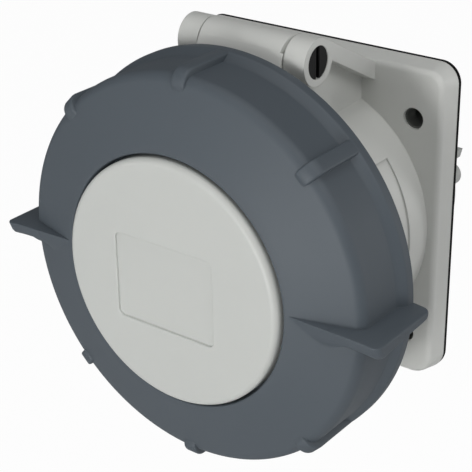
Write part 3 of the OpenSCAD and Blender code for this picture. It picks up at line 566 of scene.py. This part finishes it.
            # The small lengths from here on only round the section's corners.
            section = [
                (top, back + 0.6), (top, fore - 0.5), (top - 0.12, fore - 0.15), (top - 0.45, fore - 0.02),
                (low + edge, fore_low + edge * self.lean), (low + edge * 0.3, fore_low - edge * 0.2),
                (low, fore_low - edge), (low_back, back + 1.2), (low_back + 0.15, back + 0.35),
                (low_back + 0.45, back), (top - 0.6, back), (top - 0.18, back + 0.18)]
            sections.append([Vector((side * x, -d, z)) * MM for z, d in section])
        loft(sheet, sections)

    def fairing(self, sheet: bmesh.types.BMesh, side: int) -> None:
        """Adds the soft face under a wing's front edge, which fades into the ring's face.

        Args:
            sheet: The mesh that the fairing is added to.
            side: 1 for the right wing, -1 for the left one.
        """
        start = self.hole_r + 0.5
        sections = []
        for k in range(self.fairing_steps + 1):
            x = start + (self.fairing_end - start) * k / self.fairing_steps
            top = self.wing_z(x) - self.fairing_drop
            fade = self.fade - max(0.0, x - self.fade_x) * self.fade_loss
            straight = min(self.fairing_straight, fade - 1.0)
            # The section's root lies inside the ring's wall, and its front corner is rounded.
            section = [(top, self.outer_d(math.hypot(x, top)) - 1.2)]
            section += [(top, self.wing_d(x) - 0.3), (top - 0.1, self.wing_d(x) - 0.06)]
            for step in range(1, self.fade_steps + 1):
                z = top - fade * step / self.fade_steps
                share = max(0.0, (top - z - straight) / (fade - straight))
                blend = 1 - share * share * (3 - 2 * share)
                ring_d = self.outer_d(math.hypot(x, z))
                lean_d = max(self.wing_d(x) - (top - z) * self.lean, ring_d)
                section.append((z, ring_d + (lean_d - ring_d) * blend - 0.25 * share))
            section.append((top - fade, self.outer_d(math.hypot(x, top - fade)) - 1.6))
            sections.append([Vector((side * x, -d, z)) * MM for z, d in section])
        loft(sheet, sections)

    def lug(self, sheet: bmesh.types.BMesh, angle: float) -> None:
        """Adds one inner lug, which runs behind a ramp of the collar, with its middle at an angle in radians."""
        turns = [angle + self.lug_half_angle * (k / 6 - 1) for k in range(13)]
        loft(sheet, [[axial_point(r, d, turn) for r, d in self.lug_profile] for turn in turns])

    def build(self) -> bpy.types.Object:
        """Makes the whole ring.

        Returns:
            The ring's object.
        """
        sheet = bmesh.new()
        turned(sheet, self.outline(), self.turn_steps)
        for degrees in self.rib_angles:
            self.rib(sheet, math.radians(degrees))
        for side in (-1, 1):
            self.plate(sheet, side)
            self.fairing(sheet, side)
        for angle in (0.0, math.pi):
            self.lug(sheet, angle)
        return finished_piece("turning_ring", sheet, Slot.RING, Body.RING, ("locking_ring",))


@dataclass
class LabelDisc:
    """The disc in the middle of the ring, with a shallow bare label field. Lengths are in millimetres."""

    radius: float = 40.5
    front_d: float = 86.0
    back_d: float = 78.4
    edge_r: float = 2.0
    field_x: float = -1.8
    field_z: float = -1.8
    field_w: float = 38.4
    field_h: float = 29.5
    corner_r: float = 2.3
    field_depth: float = 0.9
    # The field's sloping wall, as insets and shares of its depth.
    field_wall: tuple[tuple[float, float], ...] = ((0.0, 0.0), (0.25, 0.14), (0.34, 0.26), (0.42, 0.92), (0.55, 1.0))
    rim_wall: float = 2.4
    points: int = 160

    def circle(self, radius: float, depth: float) -> list[Vector]:
        """Lists points of a circle about the socket's axis."""
        return [axial_point(radius, depth, math.tau * (k + 0.5) / self.points) for k in range(self.points)]

    def field_line(self, inset: float, depth: float) -> list[Vector]:
        """Lists points of the label field's outline, inset by a distance.

        Args:
            inset: Distance inside the field's edge, in millimetres.
            depth: Distance in front of the panel, in millimetres.

        Returns:
            The points, as many as a circle has, in the frame's axes.
        """
        radius = self.corner_r - inset
        half_w = self.field_w / 2 - inset - radius
        half_h = self.field_h / 2 - inset - radius
        line = []
        for corner, (sx, sz) in enumerate(((1, 1), (-1, 1), (-1, -1), (1, -1))):
            start = 90 * corner
            for x, z in arc_points((sx * half_w, sz * half_h), radius, start, start + 90, self.points // 4 - 1):
                line.append(Vector((self.field_x + x, -depth, self.field_z + z)) * MM)
        return line

    def build(self) -> bpy.types.Object:
        """Makes the disc.

        Returns:
            The disc's object.
        """
        edge = arc_points((self.radius - self.edge_r, self.front_d - self.edge_r), self.edge_r, 0, 90, 14)
        rim = [(self.radius - self.rim_wall, self.back_d), (self.radius, self.back_d)] + edge
        sheet = bmesh.new()
        circles = [outline_edges(sheet, self.circle(r, d)) for r, d in rim]
        lines = [
            outline_edges(sheet, self.field_line(inset, self.front_d - share * self.field_depth))
            for inset, share in self.field_wall]
        for loops in (circles, lines):
            for near, far in zip(loops, loops[1:]):
                bmesh.ops.bridge_loops(sheet, edges=near + far)
        bmesh.ops.triangle_fill(sheet, edges=circles[-1] + lines[0], use_beauty=True)
        for end in (circles[0], lines[-1]):
            bmesh.ops.contextual_create(sheet, geom=end)
        bmesh.ops.recalc_face_normals(sheet, faces=sheet.faces)
        return finished_piece("label_disc", sheet, Slot.CAP, Body.LID, ("lid_cap",), sharp=10.0)


@dataclass
class HoleShadeCups:
    """Dark grey cups in the flange's fixing holes, whose colour is painted shade that darkens the holes. Lengths are
    in millimetres.
    """

    pitch: float = 77.0
    outer_r: float = 3.56
    inner_r: float = 3.2
    floor_hole_r: float = 1.6
    front_d: float = 7.7
    floor_d: float = 1.4
    rear_d: float = 0.1
    turn_steps: int = 40

    def build(self) -> bpy.types.Object:
        """Makes the four cups as one piece.

        Returns:
            Their object.
        """
        sheet = bmesh.new()
        # Each cup lines a fixing hole from behind, so the hole looks shaded and dark.
        profile = [
            (self.floor_hole_r, self.rear_d), (self.outer_r, self.rear_d), (self.outer_r, self.front_d),
            (self.inner_r, self.front_d), (self.inner_r, self.floor_d), (self.floor_hole_r, self.floor_d)]
        half = self.pitch / 2
        for middle in ((half, half), (half, -half), (-half, half), (-half, -half)):
            turned(sheet, profile, self.turn_steps, middle)
        return finished_piece("hole_shade_cups", sheet, Slot.RUBBER, Body.SOCKET, (), finish=HOLE_SHADE_FINISH)


@dataclass(frozen=True)
class Lamp:
    """A soft square lamp that faces the middle of the object. Lengths are in metres, its power in watts."""

    name: str
    place: tuple[float, float, float]
    side: float
    power: float

    def hang(self) -> bpy.types.Object:
        """Adds the lamp to the scene.

        Returns:
            The lamp object.
        """
        data = bpy.data.lights.new(self.name, "AREA")
        data.shape = "SQUARE"
        data.size = self.side
        data.energy = self.power
        made = bpy.data.objects.new(self.name, data)
        made.location = self.place
        aim = Vector(OBJECT_MIDDLE) - Vector(self.place)
        made.rotation_euler = aim.to_track_quat("-Z", "Y").to_euler()
        bpy.context.scene.collection.objects.link(made)
        return made


LAMPS = (
    Lamp("low_front_lamp", (0.2, -1.15, -0.1), 0.25, 4.1),
    Lamp("upper_right_lamp", (0.85, -0.2, 0.85), 0.6, 3.3),
    Lamp("top_lamp", (0.0, -0.15, 1.2), 0.6, 2.4),
    Lamp("right_back_lamp", (0.9, 0.75, 0.15), 0.6, 2.1),
    Lamp("front_lamp", (0.0, -1.2, 0.05), 0.6, 1.9),
    Lamp("upper_front_lamp", (0.0, -0.85, 0.85), 0.6, 1.1),
    Lamp("front_left_lamp", (-0.85, -0.85, 0.05), 0.6, 0.95),
    Lamp("camera_side_lamp", (0.69, -0.89, 0.54), 0.2, 0.3),
)


@dataclass
class Studio:
    """Camera, lamps, floor and surroundings. Lengths are in metres, unless a name says otherwise."""

    azimuth: float = math.radians(37.68)
    elevation: float = math.radians(25.74)
    roll: float = math.radians(-0.93)
    place: tuple[float, float, float] = (246.508 * MM, -370.770 * MM, 197.790 * MM)
    focal_px: float = 1399.0
    sensor_mm: float = 36.0
    floor_z: float = -0.22
    floor_side: float = 6.0
    floor_colour: tuple[float, float, float, float] = (0.82, 0.82, 0.82, 1.0)
    floor_glow_share: float = 0.97
    ambient: float = 0.15
    ambient_colour: tuple[float, float, float, float] = (0.96, 0.98, 1.0, 1.0)

    def camera(self) -> bpy.types.Object:
        """Makes the camera at the photograph's viewing angle.

        Returns:
            The camera object, set as the scene's camera.
        """
        data = bpy.data.cameras.new("photo_camera")
        data.sensor_fit = "HORIZONTAL"
        data.sensor_width = self.sensor_mm
        data.lens = self.focal_px / IMAGE_SIDE * self.sensor_mm
        data.clip_start = 0.01
        made = bpy.data.objects.new("photo_camera", data)
        bpy.context.scene.collection.objects.link(made)
        ahead = Vector((
            -math.sin(self.azimuth) * math.cos(self.elevation),
            math.cos(self.azimuth) * math.cos(self.elevation),
            -math.sin(self.elevation)))
        level = ahead.cross(Vector((0, 0, 1))).normalized()
        above = level.cross(ahead)
        right = math.cos(self.roll) * level + math.sin(self.roll) * above
        up = -math.sin(self.roll) * level + math.cos(self.roll) * above
        turn = Matrix((right, up, -ahead)).transposed().to_4x4()
        made.matrix_world = Matrix.Translation(self.place) @ turn
        bpy.context.scene.camera = made
        return made

    def world(self) -> None:
        """Makes surroundings that light the object evenly and look white to the camera."""
        made = bpy.data.worlds.new("studio_surroundings")
        made.use_nodes = True
        nodes, links = made.node_tree.nodes, made.node_tree.links
        nodes.clear()
        out = nodes.new("ShaderNodeOutputWorld")
        seen = nodes.new("ShaderNodeBackground")
        seen.inputs["Color"].default_value = (1, 1, 1, 1)
        seen.inputs["Strength"].default_value = 1.0
        light = nodes.new("ShaderNodeBackground")
        light.inputs["Color"].default_value = self.ambient_colour
        light.inputs["Strength"].default_value = self.ambient
        path = nodes.new("ShaderNodeLightPath")
        mix = nodes.new("ShaderNodeMixShader")
        links.new(path.outputs["Is Camera Ray"], mix.inputs["Fac"])
        links.new(light.outputs[0], mix.inputs[1])
        links.new(seen.outputs[0], mix.inputs[2])
        links.new(mix.outputs[0], out.inputs["Surface"])
        bpy.context.scene.world = made

    def floor(self) -> bpy.types.Object:
        """Makes the pale floor, which looks white to the camera and keeps a soft shadow.

        Returns:
            The floor object.
        """
        sheet = bmesh.new()
        bmesh.ops.create_grid(sheet, x_segments=1, y_segments=1, size=self.floor_side / 2)
        bmesh.ops.translate(sheet, verts=sheet.verts, vec=(0, 0, self.floor_z))
        mesh = bpy.data.meshes.new("pale_floor")
        sheet.to_mesh(mesh)
        sheet.free()
        made = bpy.data.objects.new("pale_floor", mesh)
        bpy.context.scene.collection.objects.link(made)
        skin = bpy.data.materials.new("pale_floor")
        skin.use_nodes = True
        nodes, links = skin.node_tree.nodes, skin.node_tree.links
        nodes.clear()
        out = nodes.new("ShaderNodeOutputMaterial")
        matte = nodes.new("ShaderNodeBsdfDiffuse")
        matte.inputs["Color"].default_value = self.floor_colour
        glow = nodes.new("ShaderNodeEmission")
        glow.inputs["Color"].default_value = (1, 1, 1, 1)
        glow.inputs["Strength"].default_value = 1.0
        path = nodes.new("ShaderNodeLightPath")
        share = nodes.new("ShaderNodeMath")
        share.operation = "MULTIPLY"
        share.inputs[1].default_value = self.floor_glow_share
        mix = nodes.new("ShaderNodeMixShader")
        links.new(path.outputs["Is Camera Ray"], share.inputs[0])
        links.new(share.outputs[0], mix.inputs["Fac"])
        links.new(matte.outputs[0], mix.inputs[1])
        links.new(glow.outputs[0], mix.inputs[2])
        links.new(mix.outputs[0], out.inputs["Surface"])
        mesh.materials.append(skin)
        return made

    def build(self) -> None:
        """Sets up the whole studio."""
        self.camera()
        self.world()
        self.floor()
        for lamp in LAMPS:
            lamp.hang()
        bpy.context.scene.view_settings.view_transform = "Standard"
        LOG.info("set up the studio with %d lamps", len(LAMPS))


def main() -> None:
    """Builds the studio and dresses the object, and reports each step."""
    logging.basicConfig(level=logging.INFO, format="%(message)s")
    Studio().build()
    dress_nodes()
    TurningRing().build()
    LabelDisc().build()
    HoleShadeCups().build()


if __name__ == "__main__":
    main()
